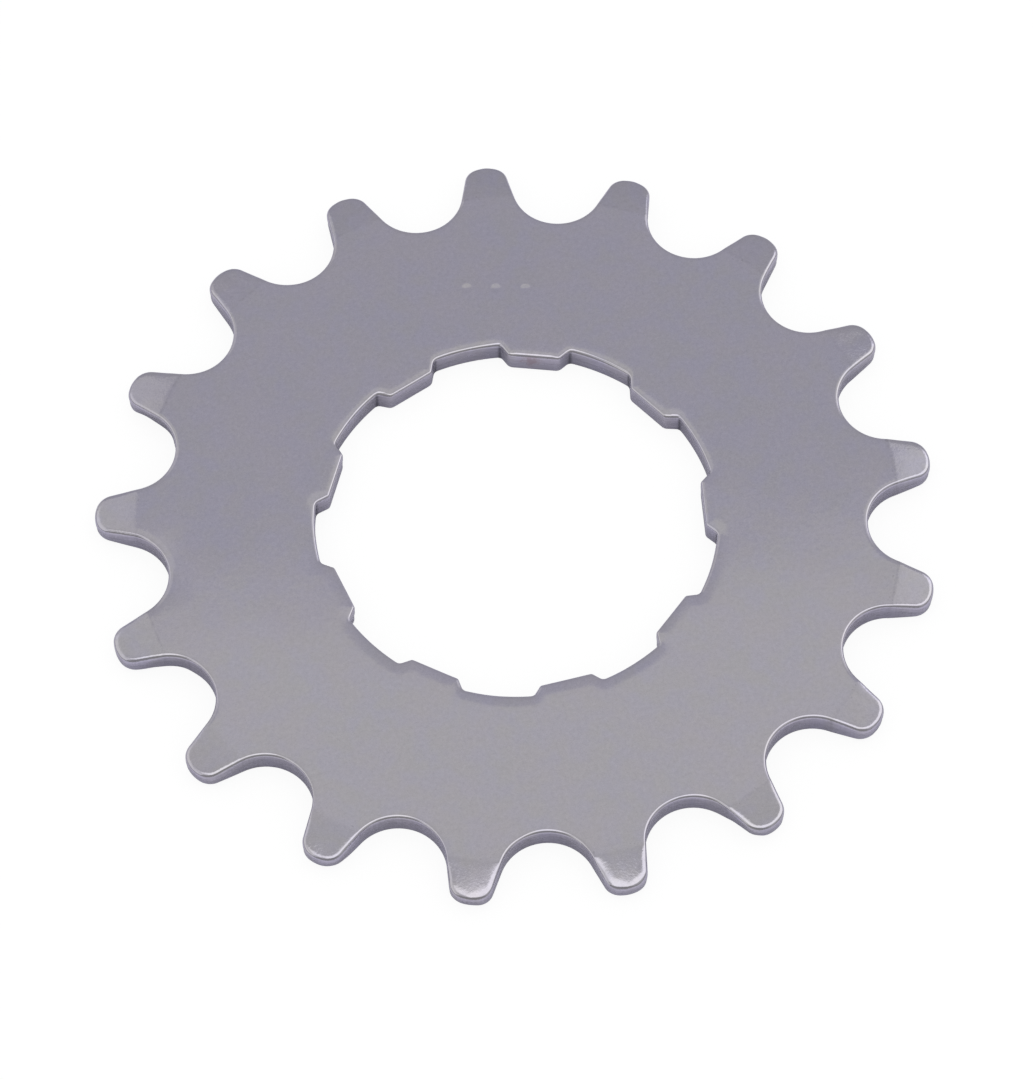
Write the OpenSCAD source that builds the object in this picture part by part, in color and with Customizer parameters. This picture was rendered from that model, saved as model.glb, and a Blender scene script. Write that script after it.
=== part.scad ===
// Flat steel chain sprocket for a splined bicycle freehub body.
// One stamped plate: a toothed rim for half-inch pitch chain and a bore with inward spline tabs.
// Origin on the bore axis at mid-thickness, +Z along the axis, one tooth and one tab centred on -Y.

/* [Chain] */
// Distance between chain roller centres
chain_pitch = 12.7; // [12.6:0.05:12.8]
// Number of teeth round the rim
teeth = 17; // [16:1:22]

/* [Teeth] */
// Radius of the roller seat between two teeth
seat_r = 4.09; // [3.95:0.01:4.15]
// Bottom of the roller seat, measured inwards from the pitch circle
root_drop = 4.058; // [3.9:0.01:4.1]
// Tooth tip, measured outwards from the pitch circle
tip_rise = 2.082; // [1.9:0.01:2.3]
// Angle between a tooth flank and the tooth's centre line
flank_angle = 12.2; // [9:0.1:14]
// Radius of the two rounded tip corners
corner_r = 1.53; // [1.2:0.01:1.6]
// Radius of the crown between the tip corners
crown_r = 2.99; // [2.8:0.01:3.6]

/* [Plate] */
// Thickness of the stamped plate
plate_t = 2.3; // [2:0.1:3]
// Radial length of the tapered zone on each face of the tooth tips
bevel_len = 3.5; // [2:0.1:4]
// Thickness left at the tooth tips
tip_t = 1.4; // [1.1:0.1:1.9]

/* [Spline bore] */
// Number of inward spline tabs, equally spaced
tabs = 9; // [9:1:9]
// Diameter across the grooves between the tabs
groove_d = 34.97; // [34.8:0.01:35.4]
// Distance across the flat tab tips, through the centre
tab_tip_d = 32.65; // [32.3:0.01:33]
// Width of a tab at its flat tip
tab_tip_w = 4.2; // [3.8:0.05:4.5]
// Width of a tab where it meets the groove circle
tab_root_w = 6.32; // [5.6:0.02:6.8]

/* [Hidden] */
$fn = 180;
steel = [0.60, 0.59, 0.64];

// Rim radii
tooth_step = 360 / teeth;
pitch_r = chain_pitch / (2 * sin(tooth_step / 2));
root_r = pitch_r - root_drop;
tip_r = pitch_r + tip_rise;
seat_centre_r = root_r + seat_r;
web_r = root_r + 2.4; // disc that joins the teeth

// Heights of the oversize solids, which run past both faces of the plate
outline_h = plate_t + 1;
bore_h = plate_t + 2;
tab_h = plate_t + 4;

// Tooth frame: +Y along the tooth's centre line, origin on the bore axis.
// Right-hand flank: unit vectors square to it (outwards) and up along it.
flank_out = [cos(flank_angle), sin(flank_angle)];
flank_up = [-sin(flank_angle), cos(flank_angle)];
seat_centre = seat_centre_r * [sin(tooth_step / 2), cos(tooth_step / 2)];
seat_dip = 0.002; // how far the flank's low end dips into the seat
flank_low = seat_centre - (seat_r - seat_dip) * flank_out;
foot = [0.6 * seat_centre[0], root_r - 1]; // buried in the web

// The tip corner touches the flank from inside and the crown arc from inside.
crown_centre = [0, tip_r - crown_r];
corner_out = flank_out * seat_centre - seat_r - corner_r;
corner_up = flank_up * crown_centre
    + sqrt(pow(crown_r - corner_r, 2) - pow(corner_out - flank_out * crown_centre, 2));
corner_centre = corner_out * flank_out + corner_up * flank_up;
join_angle = atan2(corner_centre[1] - crown_centre[1], corner_centre[0]);
corner_steps = 9;
crown_steps = 4; // from the corner to the centre line

function arc(centre, radius, from, to, steps) = [
    for (i = [0 : steps])
        let (angle = from + (to - from) * i / steps)
        centre + radius * [cos(angle), sin(angle)]
];

// Right half of a tooth, from inside the web out to the centre of the crown.
// The crown arc starts one step on, as the corner arc already ends at the join.
half_tooth = concat(
    [foot, seat_centre, flank_low],
    arc(corner_centre, corner_r, flank_angle, join_angle, corner_steps),
    arc(crown_centre, crown_r, join_angle + (90 - join_angle) / crown_steps, 90, crown_steps - 1)
);
// Left half: the mirror image in reverse order, without the shared crown point.
left_half = [for (i = [len(half_tooth) - 2 : -1 : 0]) [-half_tooth[i][0], half_tooth[i][1]]];

module toothed_outline() {
    difference() {
        union() {
            circle(r = web_r);
            for (i = [0 : teeth - 1])
                rotate(i * tooth_step - 180) polygon(concat(half_tooth, left_half));
        }
        for (i = [0 : teeth - 1])
            rotate((i + 0.5) * tooth_step - 180)
                translate([0, seat_centre_r]) circle(r = seat_r);
    }
}

// Disc with a conical taper on both faces of its rim, which thins the tooth tips.
module tapered_blank() {
    over = 0.5; // the disc runs past the tooth tips
    bevel_r = tip_r - bevel_len;
    face_z = plate_t / 2;
    edge_z = face_z - (face_z - tip_t / 2) * (bevel_len + over) / bevel_len;
    rotate_extrude() polygon([
        [0, -face_z], [bevel_r, -face_z], [tip_r + over, -edge_z],
        [tip_r + over, edge_z], [bevel_r, face_z], [0, face_z]
    ]);
}

// Tab on +Y. Its sides run on past the groove circle, as far again as from tip to root.
module tab_outline() {
    tip = [tab_tip_w / 2, tab_tip_d / 2];
    root_x = tab_root_w / 2;
    root = [root_x, sqrt(pow(groove_d / 2, 2) - pow(root_x, 2))];
    outer = 2 * root - tip;
    polygon([[-outer[0], outer[1]], [-tip[0], tip[1]], tip, outer]);
}

// The hole to cut: a groove-sized cylinder less the tabs.
module spline_bore() {
    difference() {
        cylinder(h = bore_h, d = groove_d, center = true);
        for (i = [0 : tabs - 1])
            rotate(i * 360 / tabs - 180)
                linear_extrude(height = tab_h, center = true) tab_outline();
    }
}

module sprocket() {
    color(steel) difference() {
        intersection() {
            linear_extrude(height = outline_h, center = true) toothed_outline();
            tapered_blank();
        }
        spline_bore();
    }
}

sprocket();
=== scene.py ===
"""A stamped and plated steel sprocket: 17 teeth outside, nine spline tabs inside.

It lies flat with its axis on Z and one tooth centred on -Y. The shape is worked out in
millimetres about z = 0, then moved to the CAD height and scaled to metres.
"""
import math
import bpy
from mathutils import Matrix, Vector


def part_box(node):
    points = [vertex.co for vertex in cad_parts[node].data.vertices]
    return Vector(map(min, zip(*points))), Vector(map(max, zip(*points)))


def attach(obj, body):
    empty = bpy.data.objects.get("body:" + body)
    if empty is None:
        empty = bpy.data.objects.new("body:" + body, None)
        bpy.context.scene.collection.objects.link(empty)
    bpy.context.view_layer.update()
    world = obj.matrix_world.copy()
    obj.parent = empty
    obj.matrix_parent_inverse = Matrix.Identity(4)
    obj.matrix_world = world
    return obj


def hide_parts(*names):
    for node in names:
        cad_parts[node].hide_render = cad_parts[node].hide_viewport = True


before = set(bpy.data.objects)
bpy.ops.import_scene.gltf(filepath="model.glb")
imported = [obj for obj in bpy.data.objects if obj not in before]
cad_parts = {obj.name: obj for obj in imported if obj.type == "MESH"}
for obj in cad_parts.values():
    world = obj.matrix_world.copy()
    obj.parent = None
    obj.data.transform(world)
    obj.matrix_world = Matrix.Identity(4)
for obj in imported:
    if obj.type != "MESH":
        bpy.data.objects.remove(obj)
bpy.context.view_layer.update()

from types import SimpleNamespace

import bmesh
import bpy
import numpy as np
from mathutils import Matrix, Vector
from mathutils.geometry import delaunay_2d_cdt

LO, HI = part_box("sprocket")

# ---------------------------------------------------------------- sizes, in millimetres
MM = 0.001
STUDIO_ANGLE = math.radians(-15.54)     # turn of the studio's own x axis about Z
HALF_T = (HI.z - LO.z) / MM / 2
MID_Z = (HI.z + LO.z) / MM / 2

# Teeth: a roller seat, a straight flank, a corner and a flat crown
TEETH = 17
TOOTH_PITCH = 2 * math.pi / TEETH
TIP_R = -LO.y / MM
PITCH_R = TIP_R - 2.082
SEAT_R = 4.09
SEAT_DEPTH = 4.058                      # below the pitch circle
SEAT_CENTRE_R = PITCH_R - SEAT_DEPTH + SEAT_R
FLANK = math.radians(12.2)
CORNER_R, CROWN_R = 1.53, 2.99
BEVEL_R, BEVEL_DROP = TIP_R - 3.5, 0.45

# Spline tabs, which are not quite alike. Columns: half width at the tip and at the root,
# sideways step, extra length, fillet of the lower corners (torn rounder than the upper)
SPLINE_TABS = [
    (2.26, 3.05, 0.02, -0.08, 0.75),
    (2.22, 3.05, 0.20, -0.01, 0.70),
    (2.16, 3.08, 0.04, 0.03, 0.65),
    (2.08, 3.08, -0.03, 0.01, 0.70),
    (2.24, 3.06, 0.15, 0.02, 0.80),
    (2.17, 3.05, 0.14, 0.05, 0.75),
    (2.17, 3.10, -0.03, 0.08, 0.60),
    (2.17, 3.08, 0.0, 0.0, 0.65),
    (2.18, 3.03, 0.03, -0.05, 0.75),
]
TABS = len(SPLINE_TABS)
GROOVE_R, TAB_TIP_R = 17.485, 16.325
TAB_STEP_R = 16.9                       # radius at which the sideways step is measured
TAB_FILLET, GROOVE_FILLET = 0.36, 0.55

# Stretches where the lower edge tore back further: tooth, first and last point, depth
TORN = [(1, 28, 52, 0.21), (11, 80, 102, 0.29), (13, 84, 104, 0.15),
        (15, 66, 80, 0.13), (16, 44, 64, 0.08)]

EDGE_BAND = 0.38                        # strip along each outline filled by the edge rings
LOW_BORE_BAND = 0.36
LOW_EDGE_R = 0.20
LOW_WALL_INSET = 0.040

# A row of three punched dots on the upper face
DOT_ROW_ANGLE = math.radians(79.4)
DOT_ROW_R, DOT_GAP, DOT_R, DOT_DEPTH = 23.4, 2.6, 0.55, 0.030


# ---------------------------------------------------------------- plane geometry
def unit(v):
    v = np.asarray(v, float)
    return v / np.linalg.norm(v)


def turn(v, cos, sin):
    return np.stack([cos * v[:, 0] - sin * v[:, 1], sin * v[:, 0] + cos * v[:, 1]], 1)


def arc(centre, radius, start, end, n, inward):
    """n points of an arc and their normals, the last point left out.

    inward is +1 where the steel lies outside the circle."""
    angle = start + (end - start) * np.arange(n) / n
    ray = np.stack([np.cos(angle), np.sin(angle)], 1)
    return np.asarray(centre) + radius * ray, inward * ray


def line(start, end, n, normal):
    t = (np.arange(n) / n)[:, None]
    points = (1 - t) * np.asarray(start) + t * np.asarray(end)
    return points, np.repeat([np.asarray(normal, float)], n, 0)


def mirrored(parts, mid_point, mid_normal, mid_weight):
    """A stretch symmetric about x = 0, from the parts of its right half and its middle."""
    points, normals, weight = join(parts)
    flip = [-1, 1]
    return (np.vstack([points, [mid_point], (points[::-1] * flip)[:-1]]),
            np.vstack([normals, [mid_normal], (normals[::-1] * flip)[:-1]]),
            np.concatenate([weight, [mid_weight], weight[::-1][:-1]]))


def join(parts):
    return [np.concatenate(column) for column in zip(*parts)]


def smooth_loop(v, passes):
    for _ in range(passes):
        v = (np.roll(v, 1) + 2 * v + np.roll(v, -1)) / 4
    return v


def loop_noise(n, seed, smooth):
    v = smooth_loop(np.random.RandomState(seed).standard_normal(n), smooth)
    return v / v.std()


def smooth01(t):
    return t * t * (3 - 2 * t)


def nearest(xy, points, normals):
    """Distance from each xy to a closed dense outline, and the nearest outline index."""
    dist, near = np.empty(len(xy)), np.empty(len(xy), int)
    for i in range(0, len(xy), 800):
        block = xy[i : i + 800]
        gaps = np.hypot(block[:, None, 0] - points[None, :, 0],
                        block[:, None, 1] - points[None, :, 1])
        k = gaps.argmin(1)
        gap = gaps[np.arange(len(block)), k]
        across = np.abs(((block - points[k]) * normals[k]).sum(1))
        dist[i : i + 800] = np.where(gap < 0.6, np.minimum(gap, across), gap)
        near[i : i + 800] = k
    return dist, near


def within(xy, loop):
    """True where xy is inside the loop, by crossings."""
    x, y = xy[:, 0], xy[:, 1]
    inside = np.zeros(len(xy), bool)
    x0, y0 = loop[:, 0], loop[:, 1]
    x1, y1 = np.roll(x0, -1), np.roll(y0, -1)
    for i in range(len(loop)):
        if y0[i] == y1[i]:
            continue
        hit = (y0[i] > y) != (y1[i] > y)
        inside ^= hit & (x < (x1[i] - x0[i]) * (y - y0[i]) / (y1[i] - y0[i]) + x0[i])
    return inside


# ---------------------------------------------------------------- the two outlines
# Both run counter-clockwise: points, unit normals into the steel, and a weight.
def tooth_outline():
    """The toothed outline. Its weight is 0 in the roller seats, 1 round the tooth tips."""
    half = TOOTH_PITCH / 2
    seat = np.array([SEAT_CENTRE_R * math.sin(half), SEAT_CENTRE_R * math.cos(half)])
    across = np.array([math.cos(FLANK), math.sin(FLANK)])
    along = np.array([-math.sin(FLANK), math.cos(FLANK)])
    # the corner touches the flank from inside and the crown arc from inside
    offset = across @ seat - SEAT_R - CORNER_R
    crown = np.array([0, TIP_R - CROWN_R])
    slide = along @ crown + math.sqrt(
        (CROWN_R - CORNER_R) ** 2 - (offset - across @ crown) ** 2)
    corner = offset * across + slide * along
    meet = math.atan2(corner[1] - crown[1], corner[0])
    root = math.atan2(-seat[1], -seat[0])
    # right half of a tooth, from the bottom of the seat to the crown
    rise = np.clip((np.arange(13) / 13 - 0.08) / 0.50, 0, 1)
    tooth = mirrored([
        (*arc(seat, SEAT_R, root, math.pi + FLANK - 2 * math.pi, 27, 1), np.zeros(27)),
        (*line(seat - SEAT_R * across, corner + CORNER_R * across, 13, -across),
         smooth01(rise)),
        (*arc(corner, CORNER_R, FLANK, meet, 13, -1), np.ones(13)),
        (*arc(crown, CROWN_R, meet, math.pi / 2, 6, -1), 1 - 0.95 * np.arange(6) / 6),
    ], mid_point=(0, TIP_R), mid_normal=(0, -1), mid_weight=0.05)
    teeth = []
    for i in range(TEETH):
        angle = -math.pi + i * TOOTH_PITCH
        cos, sin = math.cos(angle), math.sin(angle)
        teeth.append((turn(tooth[0], cos, sin), turn(tooth[1], cos, sin), tooth[2]))
    return join(teeth)


def tab(tip_half, root_half, tip_y, fillet):
    """One spline tab on +Y, pointing at the centre, with half a groove on either hand."""
    tip = np.array([tip_half, tip_y])
    root = np.array([root_half, math.sqrt(GROOVE_R ** 2 - root_half ** 2)])
    along = unit(root - tip)
    across = np.array([along[1], -along[0]])
    tip_c = np.array([tip_half - fillet * (1 - along[0]) / along[1], tip_y + fillet])
    # the groove fillet's centre lies beside the flank, on a circle inside the groove
    base = tip + across * GROOVE_FILLET
    reach = base @ along
    rest = base @ base - (GROOVE_R - GROOVE_FILLET) ** 2
    root_c = base + along * (-reach + math.sqrt(reach * reach - rest))
    groove_end = math.atan2(root_c[1], root_c[0])
    groove_mid = math.pi / 2 - math.pi / TABS
    side = math.atan2(across[1], across[0])
    inside_corner = np.sin(math.pi * (np.arange(8) + 0.5) / 8) ** 5
    return mirrored([
        (*arc((0, 0), GROOVE_R, groove_mid, groove_end, 12, 1), np.zeros(12)),
        (*arc(root_c, GROOVE_FILLET, groove_end, side + math.pi, 8, 1), inside_corner),
        (*line(root_c - across * GROOVE_FILLET, tip_c + across * fillet, 5, -across),
         np.zeros(5)),
        (*arc(tip_c, fillet, side, -math.pi / 2, 5, -1), np.full(5, -1.0)),
        (*line((tip_c[0], tip_y), (0, tip_y), 9, (0, 1)), np.zeros(9)),
    ], mid_point=(0, tip_y), mid_normal=(0, 1), mid_weight=0)


def bore_outline(lower):
    """The spline outline. Its weight is 1 in the inside corners, -1 on the outside ones."""
    parts = []
    for i, (tip_half, root_half, sideways, longer, low_fillet) in enumerate(SPLINE_TABS):
        fillet = low_fillet if lower else TAB_FILLET
        points, normals, weight = tab(tip_half, root_half, TAB_TIP_R - longer, fillet)
        # the sideways step dies out towards the middle of each groove
        spread = np.abs(np.arctan2(points[:, 0], points[:, 1])) * TABS / math.pi
        k = np.clip((1 - spread) / 0.42, 0, 1)
        angle = (-math.pi + i * 2 * math.pi / TABS
                 + -sideways / TAB_STEP_R * k * k * (3 - 2 * k))
        cos, sin = np.cos(angle), np.sin(angle)
        parts.append((turn(points, cos, sin), turn(normals, cos, sin), weight))
    return join(parts)


OUT, OUT_N, OUT_TIP = tooth_outline()
BORE, BORE_N, BORE_CORNER = bore_outline(lower=False)
LOW_BORE, LOW_BORE_N, _ = bore_outline(lower=True)
OUT_TIP = smooth_loop(OUT_TIP, 6)

torn = np.zeros(len(OUT))
for tooth, first, last, depth in TORN:
    torn[tooth * len(OUT) // TEETH :][first:last] = depth
LOW_OUT = OUT + OUT_N * smooth_loop(torn, 14)[:, None]


# ---------------------------------------------------------------- wear of the edges
# The die left a tight radius and a shallow roll that fades into the face.
def around(degrees, at, width):
    """A bump of height 1 round one bearing."""
    return np.exp(-((((degrees - at) + 180) % 360 - 180) / width) ** 2)


def bearing(v):
    """Direction of each row of v, in degrees from the studio's x axis."""
    return np.degrees(np.arctan2(v[:, 1], v[:, 0]) - STUDIO_ANGLE)


def tight_radius(normals, seed, base, side, front):
    """The tight radius: larger on edges that face one way, and never quite even."""
    facing = bearing(-normals)
    radius = (base + side * around(facing, at=325, width=38)
              + front * around(facing, at=265, width=28))
    return radius * (1 + 0.07 * np.clip(loop_noise(len(normals), seed, 40), -2, 2))


OUT_RADIUS = tight_radius(OUT_N, seed=3, base=0.19, side=0.12, front=0.12)
# the teeth on one side are rubbed rounder on one flank
OUT_RADIUS = OUT_RADIUS + (0.13 * around(bearing(-OUT_N), at=226, width=24)
                           * around(bearing(OUT), at=148, width=20))
OUT_RADIUS = np.clip(smooth_loop(OUT_RADIUS, 4), 0.15, 0.34)
OUT_FACING = smooth_loop(np.sin(np.radians(bearing(-OUT_N))), 4)    # 1 faces studio +y

outside_corner = np.clip(-BORE_CORNER, 0, 1)
BORE_RADIUS = smooth_loop(tight_radius(BORE_N, seed=4, base=0.19, side=0.04, front=0.16), 2)
BORE_RADIUS = np.clip(np.where(smooth_loop(outside_corner, 3) > 0.02,
                               np.minimum(BORE_RADIUS, 0.27), BORE_RADIUS), 0.15, 0.355)
BORE_BAND = EDGE_BAND - 0.07 * np.clip(smooth_loop(outside_corner, 2) * 1.6, 0, 1)
BORE_ROLL = 1 + 0.16 * np.clip(loop_noise(len(BORE), 5, 60), -2, 2)
BORE_WORN = smooth_loop(around(bearing(-BORE_N), at=334, width=22), 3)
BORE_SOFT = smooth_loop(around(bearing(-BORE_N), at=192, width=20), 3)


def fade(dist, width):
    u = np.clip(1 - dist / width, 0, 1)
    return u * u


def roll_out(dist, xy, near):
    """How far the upper face has sunk at a distance from the toothed edge."""
    # the die sat a little off centre: the roll is wider on one side of the part
    angle = bearing(xy)
    wide = 0.38 + 0.45 * around(angle, at=191, width=15)
    tip = (0.42 + 0.55 * around(angle, at=277, width=17)
           + 0.14 * np.clip(OUT_FACING[near], 0, 1))
    return 0.075 * wide * fade(dist, wide) + OUT_TIP[near] * (
        0.14 * tip * fade(dist, tip)
        + 0.045 * around(angle, at=270, width=14) * fade(dist, 1.35))


def roll_bore(dist, xy, near):
    """The same at a distance from the spline edge."""
    far_side = np.sin(np.radians(bearing(xy)))
    wide = 1.22 - 0.13 * far_side
    return ((0.031 - 0.006 * far_side) * BORE_ROLL[near] * fade(dist, wide)
            + (0.022 + 0.025 * BORE_SOFT[near]) * fade(dist, 0.45)
            + 0.040 * BORE_WORN[near] * fade(dist, 0.28))


def roll_low(dist):
    return 0.012 * fade(dist, 0.5)


# ---------------------------------------------------------------- taper of the tooth tips
# The cutter sat a little off centre and did not run quite true.
TAPER_ANGLE = math.radians(-10) + STUDIO_ANGLE
TAPER_CENTRE = 0.20 * np.array([math.cos(TAPER_ANGLE), math.sin(TAPER_ANGLE)])


def taper_wobble(xy):
    a = np.arctan2(xy[:, 1], xy[:, 0])
    return 0.025 * (np.sin(61 * a + 1) + 0.7 * np.sin(97 * a + 2) + 0.6 * np.sin(151 * a))


def past_taper(xy):
    """Distance outward past the line where the taper starts."""
    from_centre = np.hypot(xy[:, 0] - TAPER_CENTRE[0], xy[:, 1] - TAPER_CENTRE[1])
    return from_centre - BEVEL_R - taper_wobble(xy)


def taper(xy):
    """Drop of the face: a ramp with a rounded start, a little steeper towards the end."""
    x, soft = past_taper(xy), 0.06
    s = np.where(x > soft, x, np.where(x < -soft, 0, (x + soft) ** 2 / (4 * soft)))
    full = TIP_R - BEVEL_R
    return BEVEL_DROP * (0.74 * s / full + 0.26 * (s / full) ** 2)


def tip_weight(xy):
    return np.clip((past_taper(xy) + 0.05) / 0.1, 0, 1)


# ---------------------------------------------------------------- punched dots
dot_row = DOT_ROW_R * np.array([math.cos(DOT_ROW_ANGLE), math.sin(DOT_ROW_ANGLE)])
dot_axis = unit([math.cos(STUDIO_ANGLE), math.sin(STUDIO_ANGLE)])
DOTS = [dot_row + k * DOT_GAP * dot_axis for k in (-1, 0, 1)]


def dots(xy):
    """Depth of the dots, each with a faint raised rim."""
    z = np.zeros(len(xy))
    for centre in DOTS:
        r = np.hypot(*(xy - centre).T) / DOT_R
        z += np.where(r < 1, DOT_DEPTH * (1 - r * r) ** 2 * (1 + 0.6 * r * r), 0)
        z -= 0.002 * np.exp(-((r - 1.15) / 0.15) ** 2)
    return z


# ---------------------------------------------------------------- the face, one sheet for both
def inset_rows(points, normals, distances, tips=None):
    """Every other point of the outline, moved in; the deep rows keep to the tooth tips."""
    rows = []
    for j, inset in enumerate(distances):
        pick = np.arange(j % 2, len(points), 2)
        if tips is not None and inset > 0.85:
            pick = pick[tips[pick] > 0.3]
        row = (points + normals * inset)[pick]
        dist, _ = nearest(row, points, normals)
        rows.append(row[dist > inset - 0.02])
    return rows


def taper_rows():
    """Rows along the line where the tip taper starts, and down each tooth."""
    radii = [BEVEL_R + d for d in (-0.26, -0.10, -0.03, 0.04, 0.11, 0.28)]
    radii += list(np.arange(BEVEL_R + 0.62, TIP_R - 1.2, 0.42))
    radii += [BEVEL_R - 0.7, BEVEL_R - 1.4]
    rows = []
    for i in range(TEETH):
        middle = -math.pi / 2 + i * TOOTH_PITCH
        for r in radii:
            spacing = 0.20 if abs(r - BEVEL_R) < 0.2 else 0.36
            angle = middle + np.arange(-3.2, 3.21, spacing) / r
            ray = np.stack([np.cos(angle), np.sin(angle)], 1)
            # each row keeps its distance from the wavering taper line
            wobble = taper_wobble(TAPER_CENTRE + ray * r)
            rows.append(TAPER_CENTRE + ray * (r + wobble)[:, None])
    return rows


def web_rings():
    rings = []
    for r in np.arange(19.4, 29.9, 1.5):
        n = int(2 * math.pi * r / 1.6)
        a = (np.arange(n) + 0.5 * (round(r) % 2)) * 2 * math.pi / n
        rings.append(np.stack([r * np.cos(a), r * np.sin(a)], 1))
    return rings


def dot_rings():
    rings = []
    for centre in DOTS:
        rings.append(centre[None, :])
        for r in (0.15, 0.30, 0.45, 0.60, 0.75, 0.90, 1.0, 1.1, 1.2, 1.35, 1.6):
            n = max(10, int(34 * r))
            a = np.arange(n) * 2 * math.pi / n + r
            rings.append(centre + DOT_R * r * np.stack([np.cos(a), np.sin(a)], 1))
    return rings


def clear_of(xy, points, normals):
    """True on the steel side of an outline, beyond its edge band."""
    gap = EDGE_BAND + 0.06
    dist, near = nearest(xy, points, normals)
    return (((xy - points[near]) * normals[near]).sum(1) > gap) & (dist > gap)


def thinned(xy, cell=0.11, apart=0.085):
    """Drop points that fall nearly on an earlier one."""
    cells, keep = {}, []
    for i in range(len(xy)):
        cx, cy = int(round(xy[i, 0] / cell)), int(round(xy[i, 1] / cell))
        around_it = [j for dx in (-1, 0, 1) for dy in (-1, 0, 1)
                     for j in cells.get((cx + dx, cy + dy), ())]
        if not any((xy[i, 0] - xy[j, 0]) ** 2 + (xy[i, 1] - xy[j, 1]) ** 2 < apart ** 2
                   for j in around_it):
            cells.setdefault((cx, cy), []).append(i)
            keep.append(i)
    return xy[keep]


def inner_points():
    xy = np.vstack(
        inset_rows(OUT, OUT_N, (0.48, 0.60, 0.74, 0.90, 1.08), tips=OUT_TIP)
        + inset_rows(BORE, BORE_N, (0.48, 0.62, 0.78, 0.96, 1.14, 1.34))
        + taper_rows() + web_rings() + dot_rings())
    # the web points just outside the rings of a dot are left out
    from_axis = np.hypot(*xy.T)
    near_dot = np.min([np.hypot(*(xy - centre).T) for centre in DOTS], axis=0)
    crowding = (from_axis < 30.2) & (near_dot > DOT_R * 1.62) & (near_dot < DOT_R * 2.2)
    keep = (from_axis < TIP_R) & (from_axis > TAB_TIP_R) & ~crowding
    keep &= clear_of(xy, OUT, OUT_N) & clear_of(xy, BORE, BORE_N)
    return thinned(xy[keep])


def triangulate():
    """Points and triangles of the face: both edge loops come first."""
    out_loop = OUT + OUT_N * EDGE_BAND
    bore_loop = BORE + BORE_N * BORE_BAND[:, None]
    points = np.vstack([out_loop, bore_loop, inner_points()])
    n_out, n_bore = len(out_loop), len(bore_loop)
    edges = [(i, (i + 1) % n_out) for i in range(n_out)]
    edges += [(n_out + i, n_out + (i + 1) % n_bore) for i in range(n_bore)]
    result = delaunay_2d_cdt([Vector(p) for p in points], edges, [], 0, 1e-7)
    faces, sources = result[2], [source[0] for source in result[3]]
    tri = np.array([[sources[i] for i in face] for face in faces])
    middle = points[tri].mean(1)
    tri = tri[within(middle, out_loop) & ~within(middle, bore_loop)]
    # counter-clockwise
    v = points[tri]
    area = np.cross(v[:, 1] - v[:, 0], v[:, 2] - v[:, 0])
    tri[area < 0] = tri[area < 0][:, ::-1]
    return points, tri


def top_z(xy):
    out_dist, out_near = nearest(xy, OUT, OUT_N)
    bore_dist, bore_near = nearest(xy, BORE, BORE_N)
    return (HALF_T - taper(xy) - roll_out(out_dist, xy, out_near)
            - roll_bore(bore_dist, xy, bore_near) - dots(xy))


def low_z(xy):
    out_dist, _ = nearest(xy, LOW_OUT, OUT_N)
    bore_dist, _ = nearest(xy, LOW_BORE, LOW_BORE_N)
    return -HALF_T + taper(xy) + roll_low(out_dist) + roll_low(bore_dist)


def lower_sheet(points):
    """The face drawn out to the torn edges and rounder corners of the lower side."""
    bore_dist, bore_near = nearest(points, BORE, BORE_N)
    out_dist, out_near = nearest(points, OUT, OUT_N)
    low = (points + (LOW_BORE - BORE)[bore_near] * fade(bore_dist, 1.8)[:, None]
           + (LOW_OUT - OUT)[out_near] * fade(out_dist, 1.8)[:, None])
    n_out = len(OUT)
    low[:n_out] = LOW_OUT + OUT_N * EDGE_BAND
    low[n_out : n_out + len(BORE)] = LOW_BORE + LOW_BORE_N * LOW_BORE_BAND
    return low


# ---------------------------------------------------------------- the plate
# Point attributes read by the material: cut wall, torn part of it, tapered tip, spline
# side, distance past the taper line, and dirt with painted shade in the inside corners
ATTRIBUTES = ("wall", "frac", "tip", "bore", "bev", "grime")


class Parts:
    """Vertices with their attributes, and faces, gathered piece by piece."""

    def __init__(self):
        self.points, self.tris, self.quads, self.count = [], [], [], 0
        self.values = {name: [] for name in ATTRIBUTES}

    def add(self, co, **values):
        """Add vertices and give the index of the first."""
        start = self.count
        self.count += len(co)
        self.points.append(co)
        values["bev"] = np.clip(past_taper(co[:, :2]), -1.3, 1.3)
        for name in ATTRIBUTES:
            value = np.asarray(values.get(name, 0.0), float)
            self.values[name].append(np.broadcast_to(value, (len(co),)))
        return start


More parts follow.
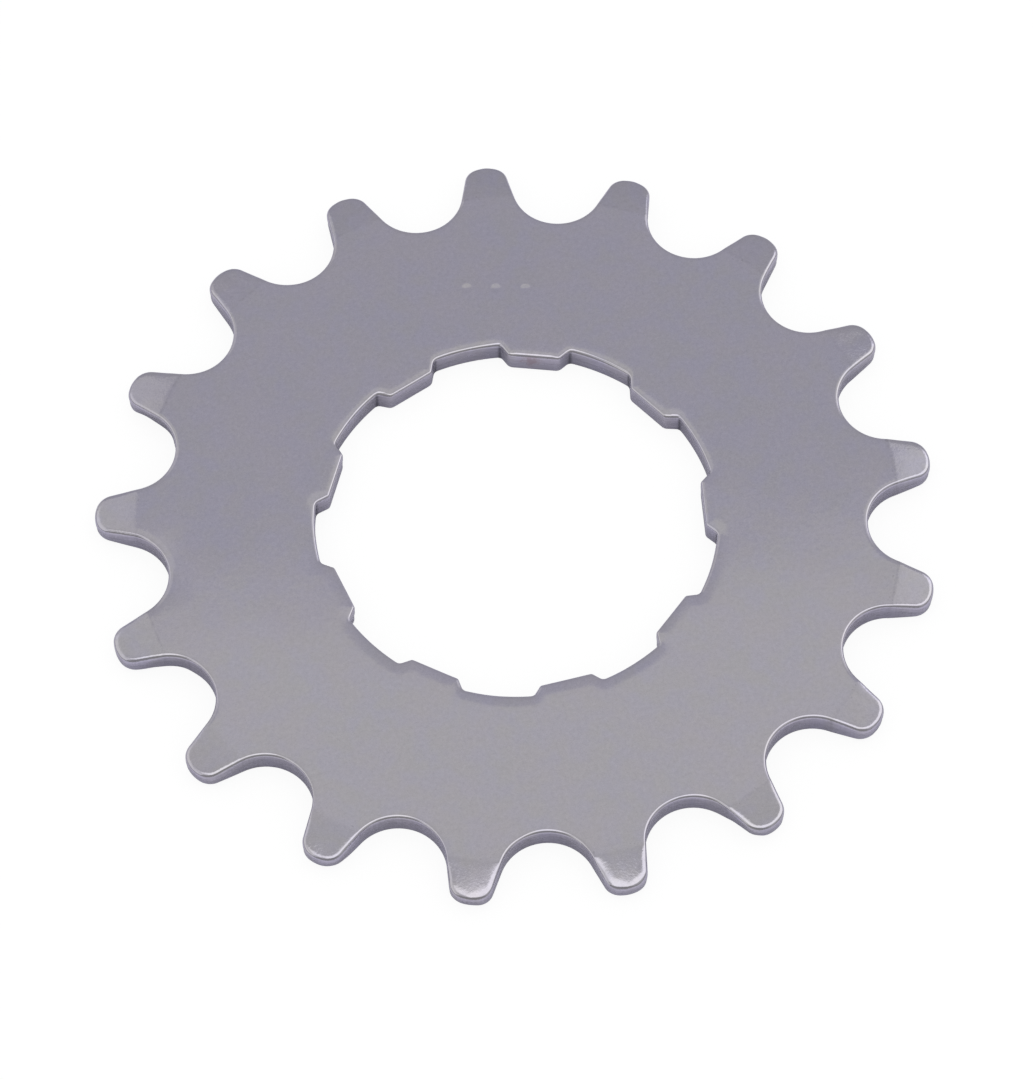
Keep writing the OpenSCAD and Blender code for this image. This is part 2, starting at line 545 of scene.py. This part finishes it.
def side_wall(parts, edge, top_ring, low_ring, seed):
    """The rounded edges and the sheared wall between the faces, as rings of quads."""
    n = len(edge.points)
    index, one = np.arange(n), np.ones(n)
    is_bore = float(edge.is_bore)
    rings = [top_ring + index]

    def at(dist):
        return edge.points + edge.normals * dist[:, None]

    def low_at(dist):
        return edge.low_points + edge.low_normals * dist[:, None]

    def upper(dist):
        return HALF_T - taper(at(dist)) - edge.roll(dist, at(dist), index)

    def lower(dist):
        return -HALF_T + taper(low_at(dist)) + roll_low(dist)

    def rounded_ring(xy, z, slope, dist):
        steep = max(0.0, (math.degrees(slope) - 40) / 50)
        # the inside corners carry dirt and painted shade on the steep part of the rounding
        rings.append(index + parts.add(
            np.column_stack([xy, z]), tip=tip_weight(at(dist)), bore=is_bore,
            wall=steep, grime=edge.grime * steep))

    for slope in np.radians([8, 20, 32, 44, 56, 68, 80, 90]):
        dist = edge.radius * (1 - math.sin(slope))
        z = upper(dist) - edge.radius * (1 - math.cos(slope))
        rounded_ring(at(dist), z, slope, dist)

    wall_top = upper(0 * one) - edge.radius
    wall_foot = lower(0 * one) + LOW_EDGE_R
    land = 0.34 + 0.05 * loop_noise(n, seed, 14)    # how deep the smooth land reaches
    drag = loop_noise(n, seed + 1, 1)               # vertical marks below it
    waver = loop_noise(n, seed + 2, 6)
    for f in (0.14, 0.30, 0.42, 0.56, 0.72, 0.88, 1.0):
        rough = smooth01(np.clip((f - land) / 0.12, 0, 1))
        dist = rough * (0.022 + 0.022 * f
                        + 0.0045 * drag * (1 if f < 0.95 else 0.3) + 0.005 * waver)
        g = smooth01(f)
        xy = (1 - g) * at(dist) + g * low_at(dist)
        co = np.column_stack([xy, wall_top + (wall_foot - wall_top) * f])
        rings.append(index + parts.add(
            co, wall=1.0, frac=rough, bore=is_bore, grime=edge.grime))

    for slope in np.radians([70, 50, 30, 12]):
        dist = LOW_WALL_INSET + LOW_EDGE_R * (1 - math.sin(slope)) * one
        z = lower(dist) + LOW_EDGE_R * (1 - math.cos(slope))
        rounded_ring(low_at(dist), z, slope, dist)

    rings.append(low_ring + index)
    for a, b in zip(rings, rings[1:]):
        quads = np.stack([a, np.roll(a, -1), np.roll(b, -1), b], 1)
        parts.quads.append(quads if edge.is_bore else quads[:, ::-1])


def gather_plate():
    parts = Parts()
    points, tri = triangulate()
    low = lower_sheet(points)
    top_start = parts.add(np.column_stack([points, top_z(points)]), tip=tip_weight(points))
    low_start = parts.add(np.column_stack([low, low_z(low)]), tip=tip_weight(low))
    parts.tris += [tri + top_start, tri[:, ::-1] + low_start]
    teeth = SimpleNamespace(
        points=OUT, normals=OUT_N, low_points=LOW_OUT, low_normals=OUT_N,
        radius=OUT_RADIUS, roll=roll_out, grime=0.0, is_bore=False)
    side_wall(parts, teeth, top_start, low_start, seed=11)
    # dirt and painted shade darken the inside corners of the spline
    grime = np.clip(1.25 * smooth_loop(np.clip(BORE_CORNER, 0, 1), 3), 0, 1)
    spline = SimpleNamespace(
        points=BORE, normals=BORE_N, low_points=LOW_BORE, low_normals=LOW_BORE_N,
        radius=BORE_RADIUS, roll=roll_bore, grime=grime, is_bore=True)
    side_wall(parts, spline, top_start + len(OUT), low_start + len(OUT), seed=29)
    return parts


def build_plate():
    parts = gather_plate()
    co = np.vstack(parts.points)
    co[:, 2] += MID_Z
    co *= MM
    faces = np.vstack(parts.tris).tolist() + np.vstack(parts.quads).tolist()
    mesh = bpy.data.meshes.new("sprocket_plate")
    mesh.from_pydata(co.tolist(), [], faces)
    mesh.validate()
    mesh.update()
    bm = bmesh.new()
    bm.from_mesh(mesh)
    bmesh.ops.recalc_face_normals(bm, faces=bm.faces)
    bm.to_mesh(mesh)
    bm.free()
    mesh.polygons.foreach_set("use_smooth", np.ones(len(mesh.polygons), bool))
    for name, values in parts.values.items():
        layer = mesh.attributes.new(name, "FLOAT", "POINT")
        layer.data.foreach_set("value", np.concatenate(values).astype(np.float32))
    mesh.update()
    return link("sprocket_plate", mesh)


def link(name, data):
    obj = bpy.data.objects.new(name, data)
    bpy.context.scene.collection.objects.link(obj)
    return obj


plate = build_plate()
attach(plate, "root")
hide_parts("sprocket")


# ---------------------------------------------------------------- materials
class Nodes:
    """A small helper for building node trees. Its methods give output sockets."""

    def __init__(self, owner):
        owner.use_nodes = True
        self.tree = owner.node_tree
        self.tree.nodes.clear()

    def new(self, kind, inputs=None, out=0, **props):
        node = self.tree.nodes.new(kind)
        for name, value in props.items():
            setattr(node, name, value)
        for key, value in (inputs or {}).items():
            if isinstance(value, bpy.types.NodeSocket):
                self.tree.links.new(value, node.inputs[key])
            else:
                node.inputs[key].default_value = value
        return node.outputs[out] if node.outputs else None

    def math(self, operation, *values):
        return self.new("ShaderNodeMath", dict(enumerate(values)), operation=operation)

    def add(self, a, b):
        return self.math("ADD", a, b)

    def sub(self, a, b):
        return self.math("SUBTRACT", a, b)

    def mul(self, a, b):
        return self.math("MULTIPLY", a, b)

    def vector(self, operation, a, b, out=0):
        return self.new("ShaderNodeVectorMath", {0: a, 1: b}, out, operation=operation)

    def swing(self, noise, amount):
        """A noise centred on zero."""
        return self.mul(self.sub(noise, 0.5), amount)

    def blend(self, factor, a, b):
        return self.add(a, self.mul(factor, self.sub(b, a)))

    def ramp(self, value, span, to=(0.0, 1.0), kind="SMOOTHSTEP"):
        return self.new("ShaderNodeMapRange", {
            "Value": value, "From Min": span[0], "From Max": span[1],
            "To Min": to[0], "To Max": to[1]}, interpolation_type=kind)

    def linear(self, value, span, to=(0.0, 1.0)):
        return self.ramp(value, span, to, kind="LINEAR")

    def mix(self, factor, a, b):
        return self.new("ShaderNodeMix", {0: factor, 6: a, 7: b}, 2, data_type="RGBA")

    def noise(self, place, scale, detail=2.0, rough=0.5):
        return self.new("ShaderNodeTexNoise", {
            "Vector": place, "Scale": scale, "Detail": detail, "Roughness": rough})

    def glossy_switch(self, others, glossy):
        """One shader for what the metal mirrors, another for every other ray."""
        is_glossy = self.new("ShaderNodeLightPath", out="Is Glossy Ray")
        return self.new("ShaderNodeMixShader", {0: is_glossy, 1: others, 2: glossy})


STAIN_R, STAIN_ANGLE, STAIN_Z = 16.45, math.radians(70.4), 0.35
STAIN = (STAIN_R * math.cos(STAIN_ANGLE), STAIN_R * math.sin(STAIN_ANGLE), STAIN_Z)
PLATING, BLUER, WARMER = (0.607, 0.588, 0.627, 1), (0.600, 0.581, 0.667, 1), (0.628, 0.590, 0.644, 1)
# the second row ends with the near black of dirt and painted shade in the inside corners
TORN_STEEL, DIRT_AND_SHADE_DARK, BROWN = (0.40, 0.39, 0.45, 1), (0.06, 0.06, 0.08, 1), (0.43, 0.32, 0.33, 1)


def steel():
    material = bpy.data.materials.new("satin_plated_steel")
    g = Nodes(material)
    place = g.new("ShaderNodeTexCoord", out="Object")
    mm = g.vector("MULTIPLY", place, (1000.0, 1000.0, 1000.0))
    wall, frac, tip, is_bore, bev, grime = (
        g.new("ShaderNodeAttribute", out="Fac", attribute_name=name) for name in ATTRIBUTES)

    # Noises; a scale is in cycles per millimetre
    grain = g.noise(mm, scale=9.0, detail=3.0, rough=0.6)       # of the plating
    fleck = g.noise(mm, scale=2.6, detail=4.0, rough=0.65)      # mottling
    hue = g.noise(g.vector("MULTIPLY", mm, (1.0, 1.0, 0.3)), scale=0.50)
    cloud = g.noise(mm, scale=0.22, detail=3.0, rough=0.55)     # slow tone change
    peel = g.noise(mm, scale=1.6)                               # waviness of rolled sheet
    swell = g.noise(mm, scale=0.10, detail=1.0)
    pit = g.noise(mm, scale=4.2, detail=3.0, rough=0.6)         # the cut tips are rougher
    # streaks along the cut walls, and fainter ones down the toothed wall
    run = g.noise(g.vector("MULTIPLY", mm, (0.55, 0.55, 9.0)), scale=1.0, detail=3.0, rough=0.6)
    drag = g.noise(g.vector("MULTIPLY", mm, (5.5, 5.5, 0.5)), scale=1.0, detail=3.0, rough=0.6)

    base = g.mix(g.ramp(hue, (0.34, 0.66)), PLATING, BLUER)
    base = g.mix(g.ramp(cloud, (0.3, 0.7), to=(0.0, 0.5)), base, WARMER)
    shade = g.add(1.0, g.swing(fleck, amount=0.24))
    shade = g.add(shade, g.swing(grain, amount=0.26))
    down = g.mul(g.sub(1.0, is_bore), g.mul(0.5, g.sub(drag, 0.5)))
    streak = g.add(g.sub(run, 0.5), down)
    shade = g.add(shade, g.mul(wall, g.mul(streak, 0.85)))
    # broken grime in the line where the tip taper starts
    line_ = g.mul(g.ramp(bev, (-0.26, -0.02)), g.ramp(bev, (0.20, 0.0)))
    fine_gaps = g.noise(mm, scale=1.7, detail=3.0, rough=0.7)
    line_ = g.mul(line_, g.ramp(fine_gaps, (0.40, 0.66), to=(0.25, 1.0)))
    long_gaps = g.noise(mm, scale=0.085, detail=0.0)
    line_ = g.mul(line_, g.ramp(long_gaps, (0.42, 0.60), to=(0.25, 1.0)))
    shade = g.mul(shade, g.sub(1.0, g.mul(line_, 0.11)))
    # and a few dark specks close to it
    near_line = g.mul(g.ramp(bev, (-1.2, -0.3)), g.ramp(bev, (0.6, 0.1)))
    speck = g.ramp(g.noise(mm, scale=2.6, detail=0.0), (0.72, 0.80))
    shade = g.mul(shade, g.sub(1.0, g.mul(g.mul(speck, near_line), 0.14)))
    base = g.new("ShaderNodeVectorMath", {0: base, "Scale": shade}, operation="SCALE")
    base = g.mix(g.mul(frac, 0.45), base, TORN_STEEL)
    # dirt and painted shade: the inside corners of the spline turn near black
    base = g.mix(g.mul(grime, 0.90), base, DIRT_AND_SHADE_DARK)
    # a brown stain on one tab, with a ragged edge
    away = g.add(g.vector("DISTANCE", mm, STAIN, out="Value"), g.swing(fleck, amount=2.2))
    stain = g.mul(g.ramp(away, (1.05, 0.25)), g.ramp(wall, (0.0, 0.6), to=(0.12, 0.62)))
    base = g.mix(stain, base, BROWN)

    rough = g.ramp(cloud, (0.3, 0.7), to=(0.060, 0.075))
    rough = g.add(rough, g.ramp(grain, (0.3, 0.7), to=(-0.012, 0.018)))
    rough = g.add(rough, g.mul(frac, 0.22))
    rough = g.add(rough, g.mul(grime, 0.25))
    # relief, in millimetres
    relief = g.add(g.mul(grain, 0.00020), g.mul(peel, 0.0012))
    relief = g.add(relief, g.mul(swell, 0.020))
    relief = g.add(relief, g.mul(tip, g.mul(pit, 0.0095)))
    bump = g.new("ShaderNodeBump", {"Height": relief, "Strength": 1.0, "Distance": 0.001})
    bsdf = g.new("ShaderNodeBsdfPrincipled", {
        "Base Color": base, "Metallic": 1.0, "Roughness": rough, "Normal": bump})
    g.new("ShaderNodeOutputMaterial", {0: bsdf})
    return material


def pale_floor():
    material = bpy.data.materials.new("pale_floor")
    g = Nodes(material)
    diffuse = g.new("ShaderNodeBsdfDiffuse", {"Color": (0.12, 0.12, 0.12, 1)})
    glow = g.new("ShaderNodeEmission", {"Color": (1, 1, 1, 1), "Strength": 0.89})
    pale = g.new("ShaderNodeAddShader", {0: diffuse, 1: glow})
    # the metal mirrors a grey sweep, with painted shade: its colour darkens close round the part by
    # occlusion
    openness = g.new("ShaderNodeAmbientOcclusion", {"Distance": 0.004}, "AO", samples=4)
    sweep_grey_painted_shade = g.mix(openness, (0.40, 0.395, 0.46, 1), (0.62, 0.61, 0.685, 1))
    sweep = g.new("ShaderNodeBsdfDiffuse", {"Color": sweep_grey_painted_shade})
    g.new("ShaderNodeOutputMaterial", {0: g.glossy_switch(pale, sweep)})
    return material


plate.data.materials.append(steel())

# ---------------------------------------------------------------- floor, in metres
FLOOR_HALF, FLOOR_GAP = 6.0, 0.00002
floor_mesh = bpy.data.meshes.new("floor")
corners = [(sx * FLOOR_HALF, sy * FLOOR_HALF, LO.z - FLOOR_GAP)
           for sx, sy in ((-1, -1), (1, -1), (1, 1), (-1, 1))]
floor_mesh.from_pydata(corners, [], [(0, 1, 2, 3)])
floor = link("floor", floor_mesh)
floor_mesh.materials.append(pale_floor())


# ---------------------------------------------------------------- world
def studio_brightness(g, x, y, z):
    """Grey of the mirrored studio along a direction, and how blue it is.

    x runs to the camera's right, y away from it, z up. Spans are in these components."""
    # overhead, then the far wall
    far = g.ramp(g.sub(y, g.mul(x, 0.096)), (0.4795, 0.4875))
    over = g.linear(y, (0.20, 0.43), to=(0.527, 0.590))
    far_wall = g.add(g.linear(y, (0.4835, 0.53), to=(0.484, 0.466)),
                     g.linear(y, (0.56, 0.78), to=(0.0, -0.042)))
    val = g.blend(far, over, far_wall)
    # panels on either hand
    right = g.mul(g.ramp(x, (0.17, 0.27)),
                  g.mul(g.ramp(y, (0.61, 0.57)), g.linear(y, (0.27, 0.56))))
    val = g.blend(right, val, 0.72)
    slant = g.ramp(g.add(y, g.mul(x, 0.5)), (0.53, 0.48))
    left = g.mul(g.ramp(x, (-0.17, -0.26)), g.mul(slant, g.ramp(y, (0.38, 0.46))))
    val = g.blend(left, val, 0.585)
    far_left = g.mul(g.ramp(x, (-0.40, -0.58)), g.ramp(y, (0.62, 0.50)))
    val = g.blend(far_left, val, 0.80)
    # dim low down on the camera's side, and a bright band overhead
    val = g.blend(g.ramp(y, (-0.58, -0.70)), val, 0.30)
    band = g.mul(g.ramp(g.math("ABSOLUTE", x), (0.50, 0.36)),
                 g.mul(g.ramp(y, (0.13, 0.04)), g.ramp(y, (-0.26, -0.14))))
    val = g.blend(band, val, 1.00)
    # the soft box over the camera: an oval, longer on its far side
    from_box = g.add(y, 0.30)
    oval_x = g.mul(g.sub(x, 0.005), 1 / 0.36)
    oval_far = g.mul(g.math("MAXIMUM", from_box, 0.0), 1 / 0.53)
    oval_near = g.mul(g.math("MINIMUM", from_box, 0.0), 1 / 0.36)
    squares = g.add(g.mul(oval_far, oval_far), g.mul(oval_near, oval_near))
    oval = g.math("SQRT", g.add(g.mul(oval_x, oval_x), squares))
    val = g.blend(g.linear(oval, (1.0, 0.58)), val, 1.21)
    # the big one to the right: part of a ring
    ring_x, ring_y = g.sub(x, 0.0), g.sub(y, 0.489)
    rho = g.math("SQRT", g.add(g.mul(ring_x, ring_x), g.mul(ring_y, ring_y)))
    ring = g.mul(g.ramp(rho, (0.38, 0.50)), g.ramp(rho, (1.12, 0.90)))
    rightward = g.math("DIVIDE", x, g.math("MAXIMUM", rho, 0.05))
    sector = g.mul(g.ramp(rightward, (0.10, 0.45)), g.ramp(y, (0.78, 0.58)))
    val = g.blend(g.mul(ring, sector), val, 1.22)
    # down to a dim horizon
    val = g.blend(g.ramp(z, (0.45, 0.10)), val, 0.36)
    blue = g.mul(far, g.sub(1.0, g.mul(0.7, g.math("MAXIMUM", left, right))))
    return val, blue


def studio_world():
    """White for the camera and diffuse light; a soft grey studio for what metal mirrors."""
    world = bpy.data.worlds.new("studio")
    bpy.context.scene.world = world
    g = Nodes(world)
    direction = g.new("ShaderNodeTexCoord", out="Generated")
    cos, sin = math.cos(STUDIO_ANGLE), math.sin(STUDIO_ANGLE)
    x, y, z = (g.vector("DOT_PRODUCT", direction, axis, out="Value")
               for axis in ((cos, sin, 0.0), (-sin, cos, 0.0), (0.0, 0.0, 1.0)))
    val, blue = studio_brightness(g, x, y, z)
    tint = g.new("ShaderNodeCombineColor", {
        0: val, 1: val, 2: g.mul(val, g.add(1.0, g.mul(blue, 0.085)))})
    white = g.new("ShaderNodeBackground", {"Color": (1, 1, 1, 1), "Strength": 1.0})
    studio = g.new("ShaderNodeBackground", {"Color": tint, "Strength": 1.0})
    g.new("ShaderNodeOutputWorld", {0: g.glossy_switch(white, studio)})


studio_world()

# ---------------------------------------------------------------- camera
# Its axes in the world, and its place from the middle of the part in metres
CAM_RIGHT = (0.9657749939, -0.2593807353, -0.0005433921)
CAM_UP = (0.2265468221, 0.8424977047, 0.4887475371)
CAM_BACK = (-0.1263138890, -0.4721432534, 0.8724250969)
CAM_OFFSET = Vector((-0.05675517579, -0.2121664495, 0.3890832009))

lens = bpy.data.cameras.new("camera")
lens.sensor_fit = "AUTO"
lens.sensor_width = 36.0
lens.lens = 171.2616667
lens.clip_start, lens.clip_end = 0.01, 50.0
camera = link("camera", lens)
pose = Matrix((CAM_RIGHT, CAM_UP, CAM_BACK)).transposed().to_4x4()
pose.translation = CAM_OFFSET + Vector(((LO.x + HI.x) / 2, 0.0, (LO.z + HI.z) / 2))
camera.matrix_world = pose
bpy.context.scene.camera = camera

bpy.context.scene.view_settings.view_transform = "Standard"
bpy.context.scene.view_settings.look = "None"
